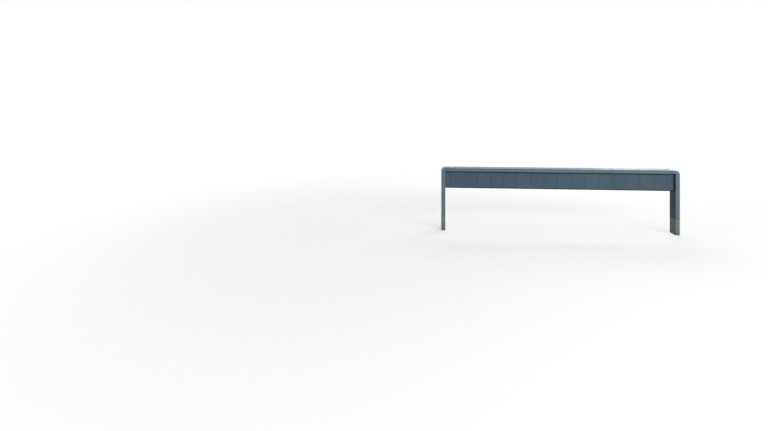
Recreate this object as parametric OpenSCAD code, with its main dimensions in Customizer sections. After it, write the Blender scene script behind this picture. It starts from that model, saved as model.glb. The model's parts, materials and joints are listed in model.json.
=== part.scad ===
// Clad portal bridge over a road: two slim legs on concrete plinths and a beam across the road.
// A ribbon of light cladding runs up one leg, over the top and down the other. The inner faces
// of the legs and the infill, set back under the top band, are darker. Inside is a welded steel
// portal with a box truss.
// Millimetres. +X runs along the beam, +Y to the rear, +Z up. The origin lies on the ground,
// midway between the legs.

/* [Portal] */
// Length over the outer faces of both legs
portal_l = 30000; // [24000:100:36000]
// Height from the ground to the top sheet
portal_h = 8200; // [8000:10:9000]
// Depth from the front face to the rear face
portal_d = 1650; // [1580:10:2000]
// Height from the ground to the underside of the beam
clear_h = 5530; // [5000:10:5700]
// Width of a leg, seen from the front
leg_w = 500; // [480:10:700]
// Height of the band over the infill
band_h = 420; // [400:10:460]
// Outer radius of the top corners
corner_r = 550; // [250:10:550]
// Depth by which the infill lies behind the band
recess = 450; // [400:10:480]

/* [Plinths] */
// Height of a plinth above the ground
plinth_h = 1980; // [1200:10:2400]
// Width of the bevel on a plinth's upright edges
plinth_bevel = 20; // [5:1:40]

/* [Cladding] */
// Distance between two joints of the infill
panel_pitch = 1716; // [1400:1:2000]
// Least width of the narrow panel at each end of the infill
end_panel_min = 300; // [250:10:400]
// Width of an open joint of the infill and of the gaps round it
joint_w = 16; // [10:1:24]
// Width of a joint in the ribbon
seam_w = 6; // [4:1:12]
// Thickness of the sheet
sheet_t = 4; // [3:0.5:5]
// Depth of a folded tray
tray_d = 40; // [30:1:50]
// Width of the lip round the back of a tray
lip_w = 35; // [30:1:45]
// Height of the trim along the bottom of the infill
trim_h = 100; // [80:1:120]
// Height of the trim along the top of the infill
top_trim_h = 160; // [80:5:200]
// Depth by which both trims lie behind the infill
trim_setback = 20; // [10:1:25]

/* [Rails] */
// Depth of a hat rail, from the steel to the trays
rail_d = 50; // [40:1:60]
// Width of a hat rail's front
rail_w = 80; // [70:1:90]
// Width of each foot of a hat rail
rail_foot = 25; // [20:1:30]
// Thickness of a hat rail
rail_t = 3; // [2:0.5:4]

/* [Steel frame] */
// Depth of every truss member, from front to rear
truss_d = 200; // [160:5:210]
// Height of a chord
chord_h = 200; // [160:5:210]
// Width of a post or diagonal
brace_w = 120; // [80:5:140]
// Thickness of the truss flanges
flange_t = 12; // [10:1:20]
// Thickness of the truss webs
web_t = 8; // [6:1:14]
// Reach of a gusset along its chord, from the joint's middle
gusset_l = 230; // [180:10:300]
// Height of a gusset beyond its chord
gusset_h = 160; // [120:10:220]
// Width of a leg column, from front to rear
column_w = 280; // [240:10:300]
// Thickness of the column flanges
column_flange_t = 20; // [14:1:28]
// Thickness of the column webs
column_web_t = 12; // [8:1:16]
// Width of the cross beams in the legs
header_w = 160; // [140:10:200]
// Height of the ladder rungs in the legs
rung_h = 140; // [100:10:200]
// Thickness of the base plates
base_t = 30; // [20:1:50]
// Length of a base plate, from front to rear
base_l = 400; // [340:10:440]
// Thickness of the cap plates on the columns
cap_t = 20; // [12:1:30]
// Height of a cross frame over the chords
cross_h = 130; // [100:5:140]
// Width of a cross frame's flanges
cross_w = 100; // [96:1:130]
// Thickness of a cross frame's plates
cross_t = 10; // [8:1:14]

/* [Hidden] */
$fn = 96;

ribbon_colour = [0.44, 0.49, 0.53];
infill_colour = [0.30, 0.37, 0.41];
trim_colour = [0.19, 0.26, 0.31];
concrete_colour = [0.46, 0.51, 0.50];
steel_colour = [0.55, 0.56, 0.57];
rail_colour = [0.70, 0.71, 0.72];

// Places across the depth, measured from the middle
face_y = portal_d / 2;
side_y = face_y - tray_d - seam_w;
steel_y = face_y - tray_d - rail_d;
infill_y = face_y - recess;
truss_y = infill_y - tray_d - rail_d;

// The corners' radius is the stated one, or less where the beam between the column tops needs it
header_edge = min(leg_w / 2 - header_w / 2, tray_d + cross_h);
outer_r = min(corner_r, (sqrt(2) * header_edge - 2 * sheet_t) / (sqrt(2) - 1));
corner_reach = max(leg_w, outer_r + 2 * lip_w);

// Places along the length
corner_x = portal_l / 2 - corner_reach;
clear_l = portal_l - 2 * leg_w;
leg_x = portal_l / 2 - leg_w / 2;
column_d = leg_w - 2 * (tray_d + rail_d);
truss_l = 2 * leg_x - header_w;
bays = floor((clear_l - 2 * end_panel_min) / panel_pitch);
end_rail_x = clear_l / 2 - joint_w - rail_w / 2 - rail_foot;

// Heights
band_z = portal_h - band_h;
band_back_z = band_z + tray_d;
top_back_z = portal_h - tray_d;
top_chord_z = top_back_z - cross_h - chord_h;
bottom_chord_z = clear_h + tray_d + rail_d;
infill_z = clear_h + trim_h;
top_trim_z = band_z - joint_w - top_trim_h;
corner_z = portal_h - max(corner_reach, band_h + 2 * lip_w);
column_top_z = top_chord_z - cap_t;
middle_joint_z = (plinth_h + clear_h) / 2;
leg_joints = [plinth_h + joint_w - seam_w / 2, middle_joint_z, clear_h, corner_z];
rail_half = rail_w / 2 + rail_foot;
eps = 1;

function joint_x(i) = (i - bays / 2) * panel_pitch;
function absolute(v) = [for (c = v) abs(c)];
function is_low(v) = min(v) < 0;

// Joint places along the beam, one for every step bays, from one end to the other
function joints(step, end) = concat(
    [-end],
    [for (i = [0 : step : bays]) joint_x(i)],
    bays % step == 0 ? [] : [joint_x(bays)],
    [end]);
bay_joints = joints(1, clear_l / 2 - joint_w / 2);
sheet_joints = joints(2, corner_x);
under_joints = joints(2, clear_l / 2);
lower_joints = joints(2, clear_l / 2 - joint_w / 2);
frame_places = concat([-corner_x], [for (i = [0 : bays]) joint_x(i)], [corner_x]);
rail_places = concat([-end_rail_x], [for (i = [0 : bays]) joint_x(i)], [end_rail_x]);

module left() { mirror([1, 0, 0]) children(); }
module rear() { mirror([0, 1, 0]) children(); }

// Box between two corners
module box(low, high) {
    translate(low) cube(high - low);
}

// Folded tray between two corners: a sheet on the side that faces points to, returns on the
// four sides and a lip round the open back
module tray(low, high, faces) {
    along = absolute(faces);
    across = [1, 1, 1] - along;
    wall = sheet_t * [1, 1, 1];
    difference() {
        box(low, high);
        box(low + wall, high - wall);
        box(low + lip_w * across + (is_low(faces) ? 2 * sheet_t : -eps) * along,
            high - lip_w * across + (is_low(faces) ? eps : -2 * sheet_t) * along);
    }
}

// Hat rail along +Z with its front at y = 0, facing -Y, and its feet at y = rail_d
module hat_rail(length) {
    half = rail_w / 2;
    linear_extrude(length)
        polygon([
            [-half - rail_foot, rail_d], [-half - rail_foot, rail_d - rail_t],
            [-half, rail_d - rail_t], [-half, 0], [half, 0], [half, rail_d - rail_t],
            [half + rail_foot, rail_d - rail_t], [half + rail_foot, rail_d],
            [half - rail_t, rail_d], [half - rail_t, rail_t],
            [rail_t - half, rail_t], [rail_t - half, rail_d]]);
}

// Hat rail along +X that faces -Y
module hat_rail_x(length) {
    rotate([0, 90, 0]) hat_rail(length);
}

// I section in the XY plane, centred, with its flanges on the two X sides
module i_section(depth, width, flange, web) {
    for (side = [-1, 1])
        translate([side * (depth - flange) / 2, 0]) square([flange, width], center = true);
    square([depth, web], center = true);
}

// Plinths

module plinth() {
    bevel_end = plinth_bevel;
    linear_extrude(plinth_h)
        translate([leg_x, 0])
            polygon([
                [-leg_w / 2 + bevel_end, -face_y], [leg_w / 2 - bevel_end, -face_y],
                [leg_w / 2, -face_y + bevel_end], [leg_w / 2, face_y - bevel_end],
                [leg_w / 2 - bevel_end, face_y], [-leg_w / 2 + bevel_end, face_y],
                [-leg_w / 2, face_y - bevel_end], [-leg_w / 2, -face_y + bevel_end]]);
}

// Steel in the legs

module base_plate_pair() {
    for (side = [-1, 1])
        translate([leg_x, side * (steel_y - base_l / 2), plinth_h + base_t / 2])
            cube([column_d, base_l, base_t], center = true);
}

module column() {
    foot_z = plinth_h + base_t;
    translate([leg_x, steel_y - column_w / 2, foot_z]) {
        linear_extrude(column_top_z - foot_z)
            i_section(column_d, column_w, column_flange_t, column_web_t);
        translate([0, 0, column_top_z - foot_z + cap_t / 2])
            cube([column_d, column_w, cap_t], center = true);
    }
}

// Cross beam from front to rear between two heights, with its flanges to the two X sides
module leg_cross_beam(reach, low_z, height) {
    translate([leg_x, reach, low_z + height / 2])
        rotate([90, 0, 0])
            linear_extrude(2 * reach)
                i_section(header_w, height, flange_t, web_t);
}

module leg_frame() {
    web_reach = steel_y - column_w / 2;
    column();
    rear() column();
    leg_cross_beam(steel_y, top_chord_z, chord_h);
    leg_cross_beam(web_reach, bottom_chord_z, chord_h);
    leg_cross_beam(web_reach, middle_joint_z - rung_h / 2, rung_h);
    leg_cross_beam(web_reach, plinth_h + base_t + rung_h, rung_h);
}

// Truss: chords, posts and diagonals share two flange planes, with webs between them

module bar(from, to, width) {
    run = to - from;
    translate(from)
        rotate(atan2(run[1], run[0]))
            translate([0, -width / 2]) square([norm(run), width]);
}

// Centre lines of the posts and diagonals, drawn at a given width
module truss_braces(width) {
    low = bottom_chord_z + chord_h / 2;
    high = top_chord_z + chord_h / 2;
    end_x = truss_l / 2 - brace_w / 2;
    for (i = [0 : bays])
        bar([joint_x(i), low], [joint_x(i), high], width);
    for (side = [-1, 1])
        bar([side * end_x, low], [side * end_x, high], width);
    for (i = [0 : bays - 1]) {
        rises = joint_x(i) + panel_pitch / 2 < 0 ? 0 : 1;
        bar([joint_x(i), rises == 0 ? high : low], [joint_x(i + 1), rises == 0 ? low : high], width);
    }
}

module truss_chords(width) {
    for (z = [bottom_chord_z, top_chord_z])
        translate([-truss_l / 2, z + (chord_h - width) / 2]) square([truss_l, width]);
}

module truss_gussets() {
    for (i = [0 : bays], top = [0, 1]) {
        z = top == 1 ? top_chord_z : bottom_chord_z + chord_h;
        rise = top == 1 ? -gusset_h : gusset_h;
        translate([joint_x(i), z])
            polygon([[-gusset_l, 0], [-brace_w / 2, rise], [brace_w / 2, rise], [gusset_l, 0]]);
    }
}

module truss() {
    translate([0, -truss_y, 0])
        mirror([0, 1, 0])
            rotate([90, 0, 0]) {
                for (start = [0, truss_d - flange_t])
                    translate([0, 0, start])
                        linear_extrude(flange_t) {
                            truss_chords(chord_h);
                            truss_braces(brace_w);
                            truss_gussets();
                        }
                linear_extrude(truss_d) {
                    truss_chords(web_t);
                    truss_braces(web_t);
                }
            }
}

// Short beams that tie the two bottom chords together
module ties() {
    reach = truss_y - truss_d;
    for (i = [0 : bays])
        translate([joint_x(i), reach, bottom_chord_z + chord_h / 2])
            rotate([90, 0, 0])
                linear_extrude(2 * reach)
                    i_section(brace_w, chord_h, web_t, web_t);
}

// Cross frame over both trusses, with deep ends that carry the band
module cross_frame(x) {
    half_web = cross_t / 2;
    half_flange = cross_w / 2;
    box([x - half_flange, -steel_y, top_back_z - cross_t], [x + half_flange, steel_y, top_back_z]);
    box([x - half_web, -steel_y, top_chord_z + chord_h], [x + half_web, steel_y, top_back_z]);
    for (end = [0, 1])
        mirror([0, end, 0]) {
            box([x - half_web, -steel_y, band_back_z], [x + half_web, -truss_y, top_back_z]);
            box([x - half_flange, -steel_y, band_back_z],
                [x + half_flange, -steel_y + cross_t, top_back_z]);
            box([x - half_flange, -steel_y, band_back_z],
                [x + half_flange, -infill_y - joint_w, band_back_z + cross_t]);
        }
}

// Rails

// The infill rails stand on the bottom trim
module infill_rails() {
    for (x = rail_places)
        translate([x, -truss_y - rail_d, infill_z]) hat_rail(band_back_z - infill_z);
}

module band_rail_row() {
    low_z = band_back_z + cross_t;
    for (x = frame_places)
        translate([x, -steel_y - rail_d, low_z]) hat_rail(top_back_z - cross_t - low_z);
}

module leg_rail_front(z) {
    translate([leg_x - leg_w / 2 + tray_d, -steel_y - rail_d, z]) hat_rail_x(leg_w - 2 * tray_d);
}

// Rail on a leg's inner or outer side, from y = low to y = high
module leg_rail_side(z, low, high, outer) {
    if (outer)
        translate([leg_x + leg_w / 2 - tray_d, low, z]) rotate([0, 0, 90]) hat_rail_x(high - low);
    else
        translate([leg_x - leg_w / 2 + tray_d, high, z]) rotate([0, 0, -90]) hat_rail_x(high - low);
}

module leg_rails() {
    levels = [plinth_h + rail_half, middle_joint_z, clear_h, corner_z];
    for (z = levels) {
        leg_rail_front(z);
        rear() leg_rail_front(z);
        leg_rail_side(z, -steel_y, steel_y, true);
    }
    for (i = [0 : 2])
        leg_rail_side(levels[i], -steel_y, steel_y, false);
    top_z = band_z - joint_w - rail_half;
    leg_rail_side(top_z, -steel_y, -infill_y - joint_w, false);
    leg_rail_side(top_z, infill_y + joint_w, steel_y, false);
}

module soffit_rail_row() {
    for (x = rail_places)
        translate([x, truss_y, clear_h + tray_d])
            rotate([90, 0, 0]) hat_rail(2 * truss_y);
}

// Cladding of the beam

module infill_panels() {
    for (i = [0 : len(bay_joints) - 2])
        tray([bay_joints[i] + joint_w / 2, -infill_y, infill_z],
            [bay_joints[i + 1] - joint_w / 2, -infill_y + tray_d, top_trim_z], [0, -1, 0]);
}

module band_fascia() {
    for (i = [0 : len(sheet_joints) - 2])
        tray([sheet_joints[i] + seam_w / 2, -face_y, band_z],
            [sheet_joints[i + 1] - seam_w / 2, -face_y + tray_d, portal_h], [0, -1, 0]);
}

module band_underside() {
    for (i = [0 : len(under_joints) - 2])
        tray([under_joints[i] + seam_w / 2, -side_y, band_z],
            [under_joints[i + 1] - seam_w / 2, -infill_y - joint_w, band_back_z], [0, 0, -1]);
}

module top_sheet_row() {
    for (i = [0 : len(sheet_joints) - 2])
        tray([sheet_joints[i] + seam_w / 2, -side_y, top_back_z],
            [sheet_joints[i + 1] - seam_w / 2, side_y, portal_h], [0, 0, 1]);
}

module soffit_row() {
    edge_y = truss_y - joint_w / 2;
    for (i = [0 : len(lower_joints) - 2])
        tray([lower_joints[i] + joint_w / 2, -edge_y, clear_h],
            [lower_joints[i + 1] - joint_w / 2, edge_y, clear_h + tray_d], [0, 0, -1]);
}

// Channel along the bottom of the infill, fixed to the chord by its top leg
module bottom_trim() {
    front = -infill_y + trim_setback;
    for (i = [0 : len(lower_joints) - 2]) {
        low_x = lower_joints[i] + joint_w / 2;
        high_x = lower_joints[i + 1] - joint_w / 2;
        box([low_x, front, clear_h], [high_x, front + sheet_t, infill_z]);
        box([low_x, front, infill_z - sheet_t], [high_x, -truss_y, infill_z]);
        box([low_x, front, clear_h], [high_x, -truss_y - joint_w / 2, clear_h + sheet_t]);
    }
}

// Shallow tray between the infill and the band, seated on the infill rails
module top_trim() {
    for (i = [0 : len(lower_joints) - 2])
        tray([lower_joints[i] + joint_w / 2, -infill_y + trim_setback, top_trim_z],
            [lower_joints[i + 1] - joint_w / 2, -infill_y + tray_d, band_z - joint_w], [0, -1, 0]);
}

// Cladding of the legs

module leg_front() {
    for (i = [0 : 2])
        tray([leg_x - leg_w / 2, -face_y, leg_joints[i] + seam_w / 2],
            [leg_x + leg_w / 2, -face_y + tray_d, leg_joints[i + 1] - seam_w / 2], [0, -1, 0]);
}

module leg_outer() {
    for (i = [0 : 2])
        tray([leg_x + leg_w / 2 - tray_d, -side_y, leg_joints[i] + seam_w / 2],
            [leg_x + leg_w / 2, side_y, leg_joints[i + 1] - seam_w / 2], [1, 0, 0]);
}

module leg_inner() {
    low_x = leg_x - leg_w / 2;
    for (i = [0 : 1])
        tray([low_x, -side_y, leg_joints[i] + seam_w / 2],
            [low_x + tray_d, side_y, leg_joints[i + 1] - seam_w / 2], [-1, 0, 0]);
    for (end = [0, 1])
        mirror([0, end, 0])
            tray([low_x, -side_y, clear_h + seam_w / 2],
                [low_x + tray_d, -infill_y - joint_w, band_z - seam_w], [-1, 0, 0]);
}

// Block of a top corner in the XZ plane, drawn one margin inside its top and outer side and
// another inside the two joints where it meets the band and the leg
module corner_block(outer_margin, joint_margin) {
    low_x = corner_x + seam_w / 2 + joint_margin;
    low_z = corner_z + seam_w / 2 + joint_margin;
    high_x = portal_l / 2 - outer_margin;
    high_z = portal_h - outer_margin;
    radius = outer_r - outer_margin;
    translate([low_x, low_z]) square([high_x - low_x, high_z - radius - low_z]);
    translate([low_x, low_z]) square([high_x - radius - low_x, high_z - low_z]);
    intersection() {
        translate([high_x - radius, high_z - radius]) circle(radius);
        translate([high_x - radius, high_z - radius]) square(radius + eps);
    }
}

// The block without the opening between the band and the leg
module corner_outline(outer_margin, inner_margin) {
    difference() {
        corner_block(outer_margin, inner_margin);
        translate([clear_l / 2 - leg_w, band_z - leg_w]) square(leg_w + inner_margin);
    }
}

module corner_face() {
    translate([0, -face_y + tray_d, 0])
        rotate([90, 0, 0])
            difference() {
                linear_extrude(tray_d) corner_outline(0, 0);
                translate([0, 0, sheet_t]) linear_extrude(tray_d - 2 * sheet_t)
                    corner_outline(sheet_t, sheet_t);
                translate([0, 0, -eps]) linear_extrude(2 * sheet_t + eps)
                    corner_outline(lip_w, lip_w);
            }
}

// Strip that follows the top and the outer side of a corner
module corner_strip(width) {
    difference() {
        corner_block(0, 0);
        corner_block(width, -eps);
    }
}

module corner_sheet() {
    low_x = corner_x + seam_w / 2;
    low_z = corner_z + seam_w / 2;
    translate([0, side_y, 0])
        rotate([90, 0, 0]) {
            linear_extrude(2 * side_y) {
                corner_strip(sheet_t);
                translate([low_x, top_back_z]) square([sheet_t, tray_d]);
                translate([low_x, top_back_z]) square([lip_w, sheet_t]);
                translate([portal_l / 2 - tray_d, low_z]) square([tray_d, sheet_t]);
                translate([portal_l / 2 - tray_d, low_z]) square([sheet_t, lip_w]);
            }
            for (start = [0, 2 * side_y - sheet_t])
                translate([0, 0, start]) linear_extrude(sheet_t) corner_strip(tray_d);
        }
}

// Named pieces

module left_plinth() { color(concrete_colour) left() plinth(); }
module right_plinth() { color(concrete_colour) plinth(); }
module left_base_plates() { color(steel_colour) left() base_plate_pair(); }
module right_base_plates() { color(steel_colour) base_plate_pair(); }
module left_leg_frame() { color(steel_colour) left() leg_frame(); }
module right_leg_frame() { color(steel_colour) leg_frame(); }
module front_truss() { color(steel_colour) truss(); }
module rear_truss() { color(steel_colour) rear() truss(); }
module truss_ties() { color(steel_colour) ties(); }
module cross_frames() { color(steel_colour) for (x = frame_places) cross_frame(x); }
module left_leg_rails() { color(rail_colour) left() leg_rails(); }
module right_leg_rails() { color(rail_colour) leg_rails(); }
module band_rails() {
    color(rail_colour) {
        band_rail_row();
        rear() band_rail_row();
    }
}
module front_infill_rails() { color(rail_colour) infill_rails(); }
module rear_infill_rails() { color(rail_colour) rear() infill_rails(); }
module soffit_rails() { color(rail_colour) soffit_rail_row(); }
module front_infill_panels() { color(infill_colour) infill_panels(); }
module rear_infill_panels() { color(infill_colour) rear() infill_panels(); }
module front_band_fascia() { color(ribbon_colour) band_fascia(); }
module rear_band_fascia() { color(ribbon_colour) rear() band_fascia(); }
module front_band_underside() { color(ribbon_colour) band_underside(); }
module rear_band_underside() { color(ribbon_colour) rear() band_underside(); }
module top_sheets() { color(ribbon_colour) top_sheet_row(); }
module beam_soffit() { color(infill_colour) soffit_row(); }
module front_bottom_trim() { color(trim_colour) bottom_trim(); }
module rear_bottom_trim() { color(trim_colour) rear() bottom_trim(); }
module front_top_trim() { color(trim_colour) top_trim(); }
module rear_top_trim() { color(trim_colour) rear() top_trim(); }
module left_leg_front() { color(ribbon_colour) left() leg_front(); }
module left_leg_rear() { color(ribbon_colour) left() rear() leg_front(); }
module left_leg_outer() { color(ribbon_colour) left() leg_outer(); }
module left_leg_inner() { color(infill_colour) left() leg_inner(); }
module right_leg_front() { color(ribbon_colour) leg_front(); }
module right_leg_rear() { color(ribbon_colour) rear() leg_front(); }
module right_leg_outer() { color(ribbon_colour) leg_outer(); }
module right_leg_inner() { color(infill_colour) leg_inner(); }
module left_corner_sheet() { color(ribbon_colour) left() corner_sheet(); }
module right_corner_sheet() { color(ribbon_colour) corner_sheet(); }
module left_corner_faces() {
    color(ribbon_colour)
        left() {
            corner_face();
            rear() corner_face();
        }
}
module right_corner_faces() {
    color(ribbon_colour) {
        corner_face();
        rear() corner_face();
    }
}

left_plinth();
right_plinth();
left_base_plates();
right_base_plates();
left_leg_frame();
right_leg_frame();
front_truss();
rear_truss();
truss_ties();
cross_frames();
left_leg_rails();
right_leg_rails();
band_rails();
front_infill_rails();
rear_infill_rails();
soffit_rails();
front_infill_panels();
rear_infill_panels();
front_band_fascia();
rear_band_fascia();
front_band_underside();
rear_band_underside();
top_sheets();
beam_soffit();
front_bottom_trim();
rear_bottom_trim();
front_top_trim();
rear_top_trim();
left_leg_front();
left_leg_rear();
left_leg_outer();
left_leg_inner();
right_leg_front();
right_leg_rear();
right_leg_outer();
right_leg_inner();
left_corner_sheet();
right_corner_sheet();
left_corner_faces();
right_corner_faces();
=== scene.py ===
import json
import math
import bmesh
import bpy
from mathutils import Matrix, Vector


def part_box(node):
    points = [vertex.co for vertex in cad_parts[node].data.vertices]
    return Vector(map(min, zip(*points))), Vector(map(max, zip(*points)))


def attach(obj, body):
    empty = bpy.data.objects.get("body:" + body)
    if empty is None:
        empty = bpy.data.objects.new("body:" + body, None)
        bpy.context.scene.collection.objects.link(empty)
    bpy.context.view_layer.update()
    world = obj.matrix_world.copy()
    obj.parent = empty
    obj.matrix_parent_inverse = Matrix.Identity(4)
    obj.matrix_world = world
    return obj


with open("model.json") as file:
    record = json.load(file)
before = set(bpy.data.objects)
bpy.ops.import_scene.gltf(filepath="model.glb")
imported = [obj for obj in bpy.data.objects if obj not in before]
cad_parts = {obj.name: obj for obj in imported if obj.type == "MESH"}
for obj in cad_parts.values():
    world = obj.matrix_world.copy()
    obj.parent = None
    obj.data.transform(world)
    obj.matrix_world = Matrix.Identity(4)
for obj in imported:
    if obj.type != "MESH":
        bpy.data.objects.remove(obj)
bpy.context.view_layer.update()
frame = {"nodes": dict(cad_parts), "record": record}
nodes = frame["nodes"]
scene = bpy.context.scene

X, Y, Z = range(3)


def extent(node, axis):
    """Lowest and highest place of a node along an axis, in metres, to the micrometre."""
    low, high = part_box(node)
    return round(low[axis], 6), round(high[axis], 6)


# Places of the CAD model, read from the frame for the rear and the right end; the others mirror them
LEG_IN_X, END_X = extent("right_leg_rear", X)
LEG_X = (LEG_IN_X + END_X) / 2
INFILL_END = extent("rear_infill_panels", X)[1]
BAND_END = extent("rear_band_fascia", X)[1]
CORNER_IN_X = extent("right_corner_faces", X)[0]
FOLD_Y, FACE_Y = extent("rear_band_fascia", Y)
SIDE_Y = extent("top_sheets", Y)[1]
UNDER_IN_Y = extent("rear_band_underside", Y)[0]
INFILL_Y = extent("rear_infill_panels", Y)[1]
TRIM_Y = extent("rear_bottom_trim", Y)[1]
SOFFIT_Y = extent("beam_soffit", Y)[1]
BAND_Z, TOP_Z = extent("rear_band_fascia", Z)
TOP_TRIM_Z, TRIM_TOP_Z = extent("rear_top_trim", Z)
CLEAR_Z, INFILL_Z = extent("rear_bottom_trim", Z)
LEG_FOOT_Z, LEG_HEAD_Z = extent("right_leg_rear", Z)
PLATE_TOP_Z = extent("right_base_plates", Z)[1]
PLINTH_Z = extent("right_plinth", Z)[1]

# Trays are folded this deep; joints are wide round the infill, and narrow seams in the light ribbon
TRAY_D = round(FACE_Y - FOLD_Y, 6)
JOINT = round(LEG_IN_X - INFILL_END, 6)
SEAM = round(CORNER_IN_X - BAND_END, 6)
END_JOINT_X = LEG_IN_X - JOINT / 2
CORNER_X = BAND_END + SEAM / 2
LEG_JOINTS = (LEG_FOOT_Z - SEAM / 2, (PLINTH_Z + CLEAR_Z) / 2, CLEAR_Z, LEG_HEAD_Z + SEAM / 2)

# Sizes that no box gives, as in the CAD source
CORNER_R = 0.55
# From joint to joint of the infill, and how many such bays there are
BAY = 1.716
BAYS = 16
HALF_RUN = BAYS * BAY / 2
# How far the end rails stand in from the ends of the infill
RAIL_REACH = 0.065
END_RAIL_X = INFILL_END - RAIL_REACH
bay_x = [-HALF_RUN + BAY * i for i in range(BAYS + 1)]
sheet_x = bay_x[::2]
end_joint_x = [-END_JOINT_X, END_JOINT_X]


def tone(red, green, blue):
    """Linear colour of an sRGB colour given in 0 to 255."""
    def linear(value):
        value /= 255
        return value / 12.92 if value <= 0.04045 else ((value + 0.055) / 1.055) ** 2.4
    return (linear(red), linear(green), linear(blue), 1.0)


class Net:
    """A procedural material, written as expressions."""

    def __init__(self, name):
        self.material = bpy.data.materials.new(name)
        self.material.use_nodes = True
        self.tree = self.material.node_tree
        self.tree.nodes.clear()
        self.place = self.add("ShaderNodeTexCoord").outputs["Object"]
        split = self.add("ShaderNodeSeparateXYZ", Vector=self.place)
        self.x, self.y, self.z = split.outputs

    def add(self, kind, settings=None, **inputs):
        node = self.tree.nodes.new(kind)
        for key, value in (settings or {}).items():
            setattr(node, key, value)
        for key, value in inputs.items():
            self.put(node.inputs[key.replace("_", " ")], value)
        return node

    def put(self, socket, value):
        if isinstance(value, bpy.types.NodeSocket):
            self.tree.links.new(value, socket)
        else:
            socket.default_value = value

    def math(self, operation, *values):
        node = self.add("ShaderNodeMath", {"operation": operation})
        for socket, value in zip(node.inputs, values):
            self.put(socket, value)
        return node.outputs[0]

    def ramp(self, value, low, high, out_low=0.0, out_high=1.0):
        """Smooth step from out_low to out_high as value goes from low to high."""
        node = self.add("ShaderNodeMapRange", {"interpolation_type": "SMOOTHSTEP"})
        for socket, number in zip(node.inputs, (value, low, high, out_low, out_high)):
            self.put(socket, number)
        return node.outputs[0]

    def stretched(self, x, y, z, shift=0.0):
        node = self.add("ShaderNodeMapping", Vector=self.place)
        node.inputs["Scale"].default_value = (x, y, z)
        node.inputs["Location"].default_value = (shift, shift * 1.7, shift * 0.6)
        return node.outputs[0]

    def noise(self, scale, detail=3.0, roughness=0.55, stretch=(1, 1, 1), shift=0.0):
        node = self.add("ShaderNodeTexNoise", Vector=self.stretched(*stretch, shift=shift),
                        Scale=scale, Detail=detail, Roughness=roughness)
        return node.outputs["Fac"]

    def cells(self, scale):
        """Distance from the nearest of many scattered points."""
        return self.add("ShaderNodeTexVoronoi", Vector=self.place, Scale=scale).outputs["Distance"]

    def steps(self, value, places):
        """How many of the places the value has passed."""
        total = 0.0
        for place in places:
            total = self.math("ADD", total, self.math("GREATER_THAN", value, place))
        return total

    def random(self, *parts):
        """One random number for each whole-number place."""
        vector = self.add("ShaderNodeCombineXYZ")
        for socket, part in zip(vector.inputs, parts):
            self.put(socket, part)
        return self.add("ShaderNodeTexWhiteNoise", Vector=vector.outputs[0]).outputs["Value"]

    def mix(self, factor, first, second):
        """The first colour where the factor is 0, the second where it is 1."""
        node = self.add("ShaderNodeMix", {"data_type": "RGBA"})
        self.put(node.inputs[0], factor)
        self.put(node.inputs[6], first)
        self.put(node.inputs[7], second)
        return node.outputs[2]

    def scaled(self, colour, factor):
        """The colour times a number that changes over the surface."""
        node = self.add("ShaderNodeVectorMath", {"operation": "SCALE"})
        self.put(node.inputs[0], colour[:3])
        self.put(node.inputs["Scale"], factor)
        return node.outputs[0]

    def bump(self, height, distance, normal=None):
        node = self.add("ShaderNodeBump", Height=height, Distance=distance, Strength=1.0)
        if normal is not None:
            self.put(node.inputs["Normal"], normal)
        return node.outputs[0]

    def finish(self, colour, roughness, metallic=0.0, specular=0.5, normal=None):
        shader = self.add("ShaderNodeBsdfPrincipled")
        self.put(shader.inputs["Base Color"], colour)
        self.put(shader.inputs["Roughness"], roughness)
        self.put(shader.inputs["Metallic"], metallic)
        self.put(shader.inputs["Specular IOR Level"], specular)
        if normal is not None:
            self.put(shader.inputs["Normal"], normal)
        output = self.add("ShaderNodeOutputMaterial", Surface=shader.outputs[0])
        output.is_active_output = True
        return self.material


# Picks which sheet gets which tone
SEED = 4.0
# More than the sheets in a row, so that each place keeps its own number
ROW_STEP = 31.0


def on_leg(net):
    """1 on the legs, 0 between them."""
    return net.math("GREATER_THAN", net.math("ABSOLUTE", net.x), END_JOINT_X)


def sheet_number(net, step, ends):
    """A random number for each sheet, whose joints lie step apart along the beam."""
    along = net.math("FLOOR", net.math("DIVIDE", net.math("ADD", net.x, HALF_RUN), step))
    reach = net.steps(net.math("ABSOLUTE", net.x), ends)
    level = net.math("MULTIPLY", net.steps(net.z, LEG_JOINTS), on_leg(net))
    across = net.math("ADD", net.steps(net.y, (-FACE_Y + TRAY_D, 0.0, FACE_Y - TRAY_D)), SEED)
    return net.random(net.math("MULTIPLY_ADD", reach, ROW_STEP, along), across, level)


def joint_distance(net, step):
    """Distance along the beam from the nearest joint."""
    place = net.math("DIVIDE", net.math("ADD", net.x, HALF_RUN), step)
    return net.math("MULTIPLY", net.math("PINGPONG", place, 0.5), step)


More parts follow.
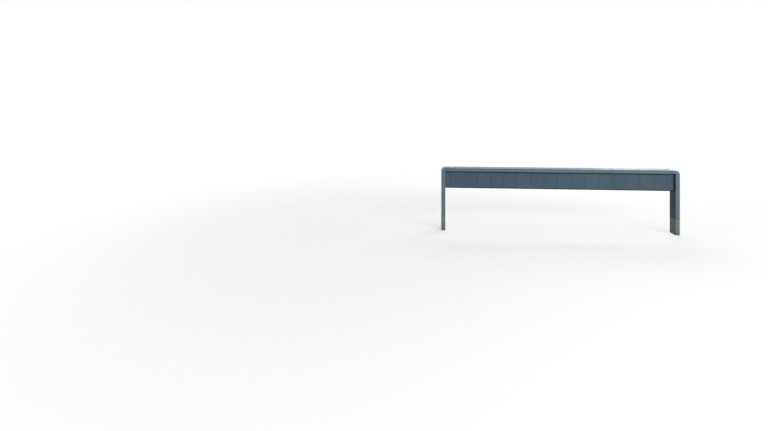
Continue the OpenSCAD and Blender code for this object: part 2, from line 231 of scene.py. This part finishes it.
def cladding(name, base, dirt, step, ends, roughness, streak, edge):
    """Painted aluminium with its own tone on each sheet, rain streaks and grime at the joints.

    streak is the share of dirt in the streaks, and edge its share at the joints.
    """
    net = Net(name)
    number = sheet_number(net, step, ends)
    level = net.ramp(number, 0.0, 1.0, 0.965, 1.035)
    cloud = net.ramp(net.noise(0.45, 4.0, shift=3.0), 0.3, 0.7, 0.97, 1.03)
    colour = net.scaled(base, net.math("MULTIPLY", level, cloud))
    runs = net.noise(1.0, 5.0, 0.6, stretch=(9.0, 9.0, 0.35))
    fine_runs = net.noise(1.0, 3.0, 0.6, stretch=(42.0, 42.0, 0.8), shift=5.0)
    washed = net.math("MULTIPLY", net.ramp(runs, 0.5, 0.72), streak)
    fine_washed = net.math("MULTIPLY", net.ramp(fine_runs, 0.55, 0.8), streak * 0.5)
    colour = net.mix(net.math("ADD", washed, fine_washed), colour, dirt)
    grime = net.ramp(joint_distance(net, step), 0.012, 0.06, edge, 0.0)
    patch = net.ramp(net.noise(7.0, 4.0, shift=9.0), 0.35, 0.65, 0.3, 1.0)
    colour = net.mix(net.math("MULTIPLY", grime, patch), colour, dirt)
    gloss = net.ramp(net.noise(2.2, 5.0, shift=1.0), 0.3, 0.7, roughness - 0.07, roughness + 0.07)
    waves = net.noise(1.1, 2.0, 0.4, stretch=(1.0, 1.0, 1.6), shift=7.0)
    grain = net.noise(160.0, 2.0, 0.5)
    normal = net.bump(waves, 0.003)
    normal = net.bump(grain, 0.00012, normal)
    return net, colour, gloss, normal


def ribbon_material():
    dirt = tone(66, 74, 76)
    net, colour, gloss, normal = cladding(
        "ribbon_sheet", tone(98, 117, 129), dirt, 2 * BAY, (CORNER_X,), 0.5, 0.14, 0.0)
    # Grime along the lower edge of the band
    low = net.ramp(net.z, BAND_Z, BAND_Z + 0.05, 0.4, 0.0)
    inside = net.math("LESS_THAN", net.math("ABSOLUTE", net.x), LEG_IN_X)
    ragged = net.ramp(net.noise(12.0, 3.0, shift=4.0), 0.35, 0.65, 0.2, 1.0)
    grime = net.math("MULTIPLY", net.math("MULTIPLY", low, inside), ragged)
    colour = net.mix(grime, colour, dirt)
    # Splashed dust on the lowest trays of the legs
    splash = net.ramp(net.math("ADD", net.z, net.math("MULTIPLY", net.noise(5.0, 4.0), -0.5)),
                      1.75, 2.3, 0.22, 0.0)
    colour = net.mix(splash, colour, tone(104, 104, 96))
    return net.finish(colour, gloss, specular=0.2, normal=normal)


def top_material():
    # The top sheets carry the ribbon's paint written darker: painted shade that tones down the strong
    # light on the top. The dust patches, water rims and dirt along the side edges are real.
    net, colour, gloss, normal = cladding(
        "top_sheet", tone(80, 96, 106), tone(68, 76, 79), 2 * BAY, (CORNER_X,), 0.42, 0.0, 0.2)
    # Dust that dries in patches, with rims where water has stood
    pools = net.noise(1.3, 5.0, 0.6, shift=11.0)
    dust = net.ramp(pools, 0.46, 0.6, 0.0, 0.24)
    rim = net.math("MULTIPLY", net.ramp(pools, 0.44, 0.47), net.ramp(pools, 0.47, 0.5, 1.0, 0.0))
    colour = net.mix(dust, colour, tone(98, 106, 108))
    colour = net.mix(net.math("MULTIPLY", rim, 0.3), colour, tone(64, 70, 72))
    edge = net.ramp(net.math("ABSOLUTE", net.y), SIDE_Y - 0.07, SIDE_Y, 0.0, 0.3)
    patch = net.ramp(net.noise(4.0, 4.0, shift=2.0), 0.35, 0.6)
    colour = net.mix(net.math("MULTIPLY", edge, patch), colour, tone(66, 72, 73))
    gloss = net.math("ADD", gloss, net.math("MULTIPLY", dust, 0.5))
    return net.finish(colour, gloss, specular=0.09, normal=normal)


def infill_material():
    ends = (HALF_RUN, END_JOINT_X)
    net, colour, gloss, normal = cladding(
        "infill_panel", tone(79, 98, 110), tone(48, 58, 64), BAY, ends, 0.5, 0.14, 0.25)
    # Grime along the lower edge, where water runs off
    low = net.ramp(net.z, INFILL_Z, INFILL_Z + 0.12, 0.3, 0.0)
    ragged = net.ramp(net.noise(9.0, 3.0, shift=4.0), 0.35, 0.65, 0.2, 1.0)
    colour = net.mix(net.math("MULTIPLY", low, ragged), colour, tone(50, 58, 60))
    # Painted shade on the road side of the legs: a bluish darkening that grows heavier up towards the
    # beam
    leg_painted_shade = net.math("MULTIPLY", on_leg(net), net.ramp(net.z, 2.4, 4.2, 0.15, 0.5))
    uneven = net.ramp(net.noise(1.8, 5.0, shift=6.0), 0.3, 0.7, 0.8, 1.2)
    colour = net.mix(net.math("MULTIPLY", leg_painted_shade, uneven), colour, tone(44, 60, 71))
    return net.finish(colour, gloss, specular=0.1, normal=normal)


def trim_material():
    # The trims' dark blue-grey is painted shade: it stands in for the shadow lines under the band and
    # along the lower edge of the beam. The lighter streaks are dirt.
    net = Net("dark_trim")
    runs = net.noise(1.0, 5.0, 0.6, stretch=(11.0, 11.0, 0.8))
    colour = net.mix(net.ramp(runs, 0.4, 0.7, 0.0, 0.5), tone(34, 45, 54), tone(48, 56, 60))
    gloss = net.ramp(net.noise(3.0, 4.0), 0.3, 0.7, 0.42, 0.6)
    return net.finish(colour, gloss, specular=0.3, normal=net.bump(net.noise(140.0, 2.0), 0.0001))


def concrete_material():
    net = Net("cast_concrete")
    cloud = net.noise(1.6, 6.0, 0.6)
    colour = net.mix(net.ramp(cloud, 0.3, 0.7), tone(112, 124, 121), tone(132, 144, 139))
    fine = net.noise(38.0, 6.0, 0.65, shift=2.0)
    colour = net.mix(net.ramp(fine, 0.35, 0.65, 0.0, 0.35), colour, tone(92, 99, 96))
    # Water stains from the joint above, and a lift line of the formwork
    runs = net.noise(1.0, 5.0, 0.62, stretch=(8.0, 8.0, 0.5), shift=6.0)
    from_top = net.ramp(net.z, 0.5, PLINTH_Z, 0.15, 0.5)
    stain = net.math("MULTIPLY", net.ramp(runs, 0.5, 0.68), from_top)
    colour = net.mix(stain, colour, tone(76, 84, 81))
    lift = net.math("ABSOLUTE", net.math("ADD", net.z, net.math("MULTIPLY_ADD", cloud, 0.012, -1.206)))
    line = net.ramp(lift, 0.002, 0.012, 0.5, 0.0)
    colour = net.mix(line, colour, tone(80, 86, 84))
    # Paler greenish tone on the road sides of the plinths, painted light that lifts those sides;
    # splashed dirt near the ground
    road_side_painted_light = net.ramp(net.math("ABSOLUTE", net.x), LEG_IN_X, LEG_IN_X + 0.03, 1.0, 0.0)
    patch = net.ramp(net.noise(3.2, 5.0, shift=8.0), 0.35, 0.65, 0.35, 0.75)
    colour = net.mix(net.math("MULTIPLY", road_side_painted_light, patch), colour, tone(149, 162, 153))
    height = net.math("ADD", net.z, net.math("MULTIPLY", net.noise(6.0, 5.0, shift=1.0), -0.55))
    splash = net.ramp(height, -0.15, 0.35, 0.55, 0.0)
    colour = net.mix(splash, colour, tone(88, 86, 78))
    pores = net.ramp(net.cells(46.0), 0.05, 0.16, 1.0, 0.0)
    rare = net.ramp(net.noise(9.0, 2.0, shift=12.0), 0.52, 0.6)
    pores = net.math("MULTIPLY", pores, rare)
    colour = net.mix(net.math("MULTIPLY", pores, 0.6), colour, tone(60, 66, 64))
    height = net.math("SUBTRACT", net.math("MULTIPLY", fine, 0.4), pores)
    normal = net.bump(height, 0.0022)
    normal = net.bump(line, 0.002, normal)
    return net.finish(colour, net.ramp(fine, 0.3, 0.7, 0.78, 0.92), specular=0.3, normal=normal)


def steel_material():
    net = Net("primed_steel")
    cloud = net.ramp(net.noise(2.4, 5.0), 0.35, 0.65)
    colour = net.mix(cloud, tone(136, 139, 141), tone(150, 152, 153))
    rust = net.ramp(net.noise(11.0, 6.0, 0.65, shift=4.0), 0.64, 0.72)
    colour = net.mix(net.math("MULTIPLY", rust, 0.7), colour, tone(112, 74, 50))
    grain = net.noise(70.0, 3.0)
    gloss = net.ramp(grain, 0.3, 0.7, 0.5, 0.66)
    return net.finish(colour, gloss, specular=0.4, normal=net.bump(grain, 0.0002))


def rail_material():
    net = Net("mill_aluminium")
    drawn = net.noise(1.0, 3.0, 0.6, stretch=(160.0, 160.0, 3.0))
    colour = net.mix(net.ramp(drawn, 0.3, 0.7), tone(172, 174, 176), tone(192, 194, 195))
    gloss = net.ramp(net.noise(6.0, 4.0, shift=3.0), 0.3, 0.7, 0.34, 0.52)
    return net.finish(colour, gloss, metallic=1.0, normal=net.bump(drawn, 0.0001))


def mortar_material():
    net = Net("tie_mortar")
    fine = net.noise(55.0, 5.0, 0.6, shift=3.0)
    colour = net.mix(net.ramp(fine, 0.35, 0.65), tone(84, 89, 86), tone(102, 107, 103))
    return net.finish(colour, 0.9, specular=0.3, normal=net.bump(fine, 0.0012))


def rubber_material():
    net = Net("joint_seal")
    dust = net.ramp(net.noise(16.0, 5.0), 0.35, 0.7, 0.0, 0.45)
    colour = net.mix(dust, tone(22, 25, 28), tone(52, 55, 56))
    gloss = net.ramp(net.noise(40.0, 3.0), 0.3, 0.7, 0.6, 0.85)
    return net.finish(colour, gloss, specular=0.3, normal=net.bump(net.noise(90.0, 3.0), 0.0003))


def zinc_material():
    net = Net("zinc_fixings")
    spots = net.cells(60.0)
    colour = net.mix(net.ramp(spots, 0.1, 0.6), tone(150, 153, 156), tone(176, 178, 180))
    gloss = net.ramp(net.noise(30.0, 4.0), 0.3, 0.7, 0.35, 0.55)
    return net.finish(colour, gloss, metallic=1.0, normal=net.bump(spots, 0.0001))


MATERIALS = {
    "concrete": concrete_material(), "frame_steel": steel_material(),
    "rail_aluminium": rail_material(), "infill_cladding": infill_material(),
    "ribbon_cladding": ribbon_material(), "top_cladding": top_material(),
    "dark_trim": trim_material(),
}
seal = rubber_material()
zinc = zinc_material()
mortar = mortar_material()
for part in frame["record"]["subparts"]:
    node = nodes[part["node"]]
    node.data.materials.clear()
    node.data.materials.append(MATERIALS[part["material_slot"]])


class Shape:
    """Closed forms that are gathered into one piece."""

    def __init__(self):
        self.points = []
        self.faces = []

    def sweep(self, section, stations, closed=False):
        """Carries a closed section along stations of (place, across, inward)."""
        count, rows, base = len(section), len(stations), len(self.points)
        for place, across, inward in stations:
            self.points += [place + across * u + inward * v for u, v in section]
        for row in range(rows if closed else rows - 1):
            low, high = base + row * count, base + (row + 1) % rows * count
            for i in range(count):
                after = (i + 1) % count
                self.faces.append((low + i, low + after, high + after, high + i))
        if not closed:
            last = base + (rows - 1) * count
            self.faces.append(tuple(base + i for i in range(count)))
            self.faces.append(tuple(last + i for i in range(count)))

    def straight(self, section, start, end, inward):
        start, end, inward = Vector(start), Vector(end), Vector(inward)
        across = (end - start).normalized().cross(inward)
        self.sweep(section, [(start, across, inward), (end, across, inward)])

    def wrapped(self, section, across, turns, closed=False):
        """Carries a section along turns of (place, inward), where inward is mitred at a corner."""
        across = Vector(across)
        self.sweep(section, [(Vector(place), across, Vector(into)) for place, into in turns], closed)

    def turned(self, profile, place, axis, sides=10):
        """Turns an open profile of (radius, height) about an axis, closed at both ends."""
        place, axis = Vector(place), Vector(axis)
        side = axis.orthogonal().normalized()
        other = axis.cross(side)
        base, rings = len(self.points), len(profile)
        for radius, height in profile:
            for i in range(sides):
                angle = 2 * math.pi * i / sides
                ray = side * math.cos(angle) + other * math.sin(angle)
                self.points.append(place + axis * height + ray * radius)
        for row in range(rings - 1):
            for i in range(sides):
                a, b = base + row * sides + i, base + row * sides + (i + 1) % sides
                self.faces.append((a, b, b + sides, a + sides))
        self.faces.append(tuple(base + i for i in range(sides)))
        self.faces.append(tuple(base + (rings - 1) * sides + i for i in range(sides)))

    def piece(self, name, material, smooth=False):
        mesh = bpy.data.meshes.new(name)
        mesh.from_pydata(self.points, [], self.faces)
        work = bmesh.new()
        work.from_mesh(mesh)
        bmesh.ops.recalc_face_normals(work, faces=work.faces)
        work.to_mesh(mesh)
        work.free()
        mesh.materials.append(material)
        if smooth:
            mesh.shade_smooth()
            mesh.set_sharp_from_angle(angle=math.radians(40))
        thing = bpy.data.objects.new(name, mesh)
        scene.collection.objects.link(thing)
        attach(thing, "root")


def seal_section(width=JOINT, depth=0.011):
    """Folded seal with a groove down its middle; its front lies depth behind the face."""
    play, sheet, groove = 0.0002, 0.0022, 0.0035
    half = width / 2 - play
    front = [(-half, depth), (-half * 0.5, depth), (-half * 0.22, depth + groove),
             (half * 0.22, depth + groove), (half * 0.5, depth), (half, depth)]
    return front + [(u, v + sheet) for u, v in reversed(front)]


BOTH = (-1, 1)
SEAL = seal_section()
SEAM_SEAL = seal_section(SEAM)
LONG_SEAL = seal_section(SEAM, 0.018)
# Middles of the seams along the band and up the legs, and of the joint at the foot
LONG_Y = FACE_Y - TRAY_D - SEAM / 2
FOOT_Z = PLINTH_Z + JOINT / 2
# How far a strip ends short of what it would touch, and the trim seals inside the trim's edges
CLEARANCE = 0.001
SEAL_INSET = 0.004


def side_name(side):
    return "front" if side < 0 else "rear"


def end_name(end):
    return "left" if end < 0 else "right"


# Seals in the joints of the infill and of its trims
for side in BOTH:
    inward = (0, -side, 0)
    shape = Shape()
    for x in bay_x + end_joint_x:
        shape.straight(SEAL, (x, side * INFILL_Y, INFILL_Z), (x, side * INFILL_Y, TOP_TRIM_Z), inward)
    shape.piece(f"{side_name(side)}_infill_seals", seal)
    shape = Shape()
    shallow = seal_section(depth=0.005)
    for x in sheet_x + end_joint_x:
        for low, high in ((CLEAR_Z + SEAL_INSET, INFILL_Z - SEAL_INSET), (TOP_TRIM_Z, TRIM_TOP_Z)):
            shape.straight(shallow, (x, side * TRIM_Y, low), (x, side * TRIM_Y, high), inward)
    shape.piece(f"{side_name(side)}_trim_seals", seal)

# Seals round the band in its cross joints: underside, front, top, rear and underside again
shape = Shape()
for x in sheet_x + [-CORNER_X, CORNER_X]:
    start = UNDER_IN_Y if abs(x) < CORNER_X else FACE_Y - TRAY_D
    shape.wrapped(SEAM_SEAL, (1, 0, 0), [
        ((x, -start, BAND_Z), (0, 0, 1)), ((x, -FACE_Y, BAND_Z), (0, 1, 1)),
        ((x, -FACE_Y, TOP_Z), (0, 1, -1)), ((x, FACE_Y, TOP_Z), (0, -1, -1)),
        ((x, FACE_Y, BAND_Z), (0, -1, 1)), ((x, start, BAND_Z), (0, 0, 1))])
shape.piece("band_seals", seal)

# Seals along the band: behind the fascia below and above, and at the head of the infill
for side in BOTH:
    shape = Shape()
    for section, y, z, run, into in (
            (LONG_SEAL, LONG_Y, BAND_Z, LEG_IN_X, (0, 0, 1)),
            (LONG_SEAL, LONG_Y, TOP_Z, CORNER_X, (0, 0, -1)),
            (SEAL, UNDER_IN_Y - JOINT / 2, BAND_Z, LEG_IN_X, (0, 0, 1))):
        shape.straight(section, (-run, side * y, z), (run, side * y, z), into)
    shape.piece(f"{side_name(side)}_long_seals", seal)
shape = Shape()
for x in sheet_x + end_joint_x:
    shape.straight(SEAL, (x, -SOFFIT_Y, CLEAR_Z), (x, SOFFIT_Y, CLEAR_Z), (0, 0, 1))
for side in BOTH:
    y = side * (SOFFIT_Y + JOINT / 2)
    shape.straight(SEAL, (-INFILL_END, y, CLEAR_Z), (INFILL_END, y, CLEAR_Z), (0, 0, 1))
shape.piece("soffit_seals", seal)

# Seals in the joints of the legs and round the corners
CORNER_STEPS = 24
STRIP_FOOT_Z = PLINTH_Z + CLEARANCE


def leg_corners(end, z):
    """Turns of a seal at the four corners of a leg, mitred."""
    near, far = end * LEG_IN_X, end * END_X
    return [((near, -FACE_Y, z), (end, 1, 0)), ((far, -FACE_Y, z), (-end, 1, 0)),
            ((far, FACE_Y, z), (-end, -1, 0)), ((near, FACE_Y, z), (end, -1, 0))]


def leg_ring(end, z, start):
    """The same turns, begun and ended on the inner side, start away from its middle."""
    near = end * LEG_IN_X
    first, last = ((near, -start, z), (end, 0, 0)), ((near, start, z), (end, 0, 0))
    return [first] + leg_corners(end, z) + [last]


for end in BOTH:
    shape = Shape()
    near, far = end * LEG_IN_X, end * END_X
    shape.wrapped(SEAL, (0, 0, 1), leg_corners(end, FOOT_Z), closed=True)
    shape.wrapped(SEAM_SEAL, (0, 0, 1), leg_corners(end, LEG_JOINTS[1]), closed=True)
    shape.wrapped(SEAM_SEAL, (0, 0, 1), leg_ring(end, LEG_JOINTS[2], UNDER_IN_Y))
    shape.wrapped(SEAM_SEAL, (0, 0, 1), leg_ring(end, LEG_JOINTS[3], FACE_Y - TRAY_D))
    for side in BOTH:
        y = side * LONG_Y
        under_y = side * (UNDER_IN_Y - JOINT / 2)
        head_z = BAND_Z - SEAM / 2
        head_start, head_end = (near, side * UNDER_IN_Y, head_z), (near, side * SIDE_Y, head_z)
        into = (end, 0, 0)
        shape.straight(LONG_SEAL, (near, y, STRIP_FOOT_Z), (near, y, BAND_Z - SEAM), into)
        shape.straight(SEAL, (near, under_y, CLEAR_Z), (near, under_y, TRIM_TOP_Z), into)
        shape.straight(SEAM_SEAL, head_start, head_end, into)
        # One strip up the outer side, round the corner and in along the top
        turns = [((far, y, STRIP_FOOT_Z), (-end, 0, 0))]
        centre = Vector((end * (END_X - CORNER_R), y, TOP_Z - CORNER_R))
        for i in range(CORNER_STEPS + 1):
            angle = math.pi / 2 * i / CORNER_STEPS
            ray = Vector((end * math.cos(angle), 0, math.sin(angle)))
            turns.append((centre + ray * CORNER_R, -ray))
        turns.append(((end * CORNER_X, y, TOP_Z), (0, 0, -1)))
        shape.wrapped(LONG_SEAL, (0, 1, 0), turns)
    shape.piece(f"{end_name(end)}_leg_seals", seal)

# Rolled drips under the lower edges of the band and of the bottom trim, in the trims' dark colour,
# which is painted shade
bead = [(0.0, 0.0), (0.010, 0.0), (0.010, 0.003), (0.0085, 0.0068),
        (0.005, 0.008), (0.0015, 0.0068), (0.0, 0.003)]
BAND_DRIP = (CORNER_X, FACE_Y, BAND_Z, SEAM)
TRIM_DRIP = (END_JOINT_X, TRIM_Y, CLEAR_Z, JOINT)
for side in BOTH:
    inward = (0, -side, 0)
    shape = Shape()
    for end_x, y, z, gap in (BAND_DRIP, TRIM_DRIP):
        joints = [-end_x] + sheet_x + [end_x]
        for low, high in zip(joints, joints[1:]):
            ends = (low + gap / 2 + CLEARANCE, high - gap / 2 - CLEARANCE)
            shape.wrapped(bead, inward, [((x, side * y, z), (0, 0, -1)) for x in ends])
    shape.piece(f"{side_name(side)}_drips", MATERIALS["dark_trim"])

# Rivets that hold the trims, in pairs at each rail
head = [(0.0058, 0.0), (0.0056, 0.0012), (0.0038, 0.0024), (0.0015, 0.0028)]
RIVET_OFFSET = (-0.028, 0.028)
RIVET_Z = (CLEAR_Z + 0.05, TOP_TRIM_Z + 0.06, TRIM_TOP_Z - 0.035)
for side in BOTH:
    shape = Shape()
    for x in bay_x + [-END_RAIL_X, END_RAIL_X]:
        for offset in RIVET_OFFSET:
            for z in RIVET_Z:
                shape.turned(head, (x + offset, side * TRIM_Y, z), (0, side, 0))
    shape.piece(f"{side_name(side)}_trim_rivets", zinc, smooth=True)

# Anchor bolts of the base plates: washer, nut and the end of the rod
washer = [(0.022, 0.0), (0.022, 0.004)]
nut = [(0.0208, 0.004), (0.0208, 0.021), (0.018, 0.023)]
rod = [(0.012, 0.02), (0.012, 0.034), (0.0105, 0.0355)]
BOLT_X = (-0.08, 0.08)
BOLT_Y = (0.385, 0.515, 0.675)
for end in BOTH:
    shape = Shape()
    for side in BOTH:
        for x in BOLT_X:
            for y in BOLT_Y:
                place = (end * LEG_X + x, side * y, PLATE_TOP_Z)
                shape.turned(washer, place, (0, 0, 1), sides=16)
                shape.turned(nut, place, (0, 0, 1), sides=6)
                shape.turned(rod, place, (0, 0, 1), sides=12)
    shape.piece(f"{end_name(end)}_anchor_bolts", zinc)

# Mortar plugs in the tie holes of the formwork, on the wide sides of the plinths
plug = [(0.017, -0.004), (0.017, 0.0008), (0.0145, 0.0012), (0.0125, 0.0004)]
TIE_Y = (-0.45, 0.45)
TIE_Z = (0.42, 0.99, 1.56)
for end in BOTH:
    shape = Shape()
    for y in TIE_Y:
        for z in TIE_Z:
            shape.turned(plug, (end * LEG_IN_X, y, z), (-end, 0, 0), sides=14)
    shape.piece(f"{end_name(end)}_tie_plugs", mortar)

# Floor: pale with the object's shadow for the camera, dull grey for bounced light
floor_mesh = bpy.data.meshes.new("floor")
REACH = 600.0
corners = [(-REACH, -REACH, 0), (REACH, -REACH, 0), (REACH, REACH, 0), (-REACH, REACH, 0)]
floor_mesh.from_pydata(corners, [], [(0, 1, 2, 3)])
floor = bpy.data.objects.new("floor", floor_mesh)
scene.collection.objects.link(floor)
# Just clear of the plinths, whose undersides lie at zero
floor.location.z = -0.002


def seen_directly(tree):
    """1 for camera, glossy and transmission rays."""
    rays = tree.nodes.new("ShaderNodeLightPath")
    total = rays.outputs["Is Camera Ray"]
    for name in ("Is Glossy Ray", "Is Transmission Ray"):
        either = tree.nodes.new("ShaderNodeMath")
        either.operation = "MAXIMUM"
        tree.links.new(total, either.inputs[0])
        tree.links.new(rays.outputs[name], either.inputs[1])
        total = either.outputs[0]
    return total


net = Net("pale_floor")
length = net.add("ShaderNodeVectorMath", {"operation": "LENGTH"})
net.put(length.inputs[0], net.place)
away = net.ramp(length.outputs["Value"], 18.0, 70.0, 0.5, 1.0)
pale = net.add("ShaderNodeBsdfDiffuse", Color=(0.84, 0.84, 0.84, 1.0))
glow = net.add("ShaderNodeEmission", Color=(1.0, 1.0, 1.0, 1.0), Strength=1.0)
fading = net.add("ShaderNodeMixShader")
net.put(fading.inputs[0], away)
net.put(fading.inputs[1], pale.outputs[0])
net.put(fading.inputs[2], glow.outputs[0])
dull = net.add("ShaderNodeBsdfDiffuse", Color=(0.14, 0.14, 0.14, 1.0))
chosen = net.add("ShaderNodeMixShader")
net.put(chosen.inputs[0], seen_directly(net.tree))
net.put(chosen.inputs[1], dull.outputs[0])
net.put(chosen.inputs[2], fading.outputs[0])
net.add("ShaderNodeOutputMaterial", Surface=chosen.outputs[0])
floor_mesh.materials.append(net.material)

# World: white behind the object, a plain ambient level on it
world = bpy.data.worlds.new("studio")
scene.world = world
world.use_nodes = True
tree = world.node_tree
tree.nodes.clear()
white = tree.nodes.new("ShaderNodeBackground")
white.inputs["Color"].default_value = (1.0, 1.0, 1.0, 1.0)
white.inputs["Strength"].default_value = 1.0
ambient = tree.nodes.new("ShaderNodeBackground")
ambient.inputs["Color"].default_value = (0.97, 0.99, 1.0, 1.0)
ambient.inputs["Strength"].default_value = 0.22
background = tree.nodes.new("ShaderNodeMixShader")
tree.links.new(seen_directly(tree), background.inputs[0])
tree.links.new(ambient.outputs[0], background.inputs[1])
tree.links.new(white.outputs[0], background.inputs[2])
output = tree.nodes.new("ShaderNodeOutputWorld")
tree.links.new(background.outputs[0], output.inputs["Surface"])

# The lamps stand round this point and face it
LAMP_AIM = Vector((0.0, 0.0, 5.0))


def soft_lamp(name, towards, distance, width, height, level):
    """Large lamp; at level 1 a surface that faces it renders its colour as written."""
    data = bpy.data.lights.new(name, "AREA")
    data.shape = "RECTANGLE"
    data.size, data.size_y = width, height
    data.energy = level * (math.pi * distance) ** 2
    lamp = bpy.data.objects.new(name, data)
    scene.collection.objects.link(lamp)
    direction = Vector(towards).normalized()
    lamp.location = LAMP_AIM + direction * distance
    lamp.rotation_euler = direction.to_track_quat("Z", "Y").to_euler()
    lamp.visible_camera = False
    return lamp


# The front lamp stays out of reflections: seen low from the rear, the flat top would clip to white
front = soft_lamp("front_low", (0.35, -0.9, 0.38), distance=95.0, width=90.0, height=25.0, level=0.93)
front.visible_glossy = False
soft_lamp("overhead", (0.15, 0.0, 1.0), distance=95.0, width=90.0, height=90.0, level=0.24)
soft_lamp("rear_fill", (0.15, 0.8, 0.6), distance=95.0, width=90.0, height=45.0, level=0.68)
soft_lamp("glow_right", (0.5, 0.866, 0.1), distance=105.0, width=40.0, height=25.0, level=0.175)

# Camera, level, with the horizon close to the photograph's row
IMAGE_W, IMAGE_H = 768, 431
HORIZON_ROW = 100.08
CAMERA_PLACE = (-16.682, -68.665, 17.143)
CAMERA_TURN = math.radians(4.993)
camera_data = bpy.data.cameras.new("camera")
camera_data.lens = 24.0
camera_data.sensor_width = 36.0
camera_data.shift_y = -(IMAGE_H / 2 - HORIZON_ROW) / IMAGE_W
camera_data.clip_end = 2000.0
camera = bpy.data.objects.new("camera", camera_data)
scene.collection.objects.link(camera)
camera.location = CAMERA_PLACE
camera.rotation_euler = (math.radians(90), 0.0, CAMERA_TURN)
scene.camera = camera
scene.view_settings.view_transform = "Standard"
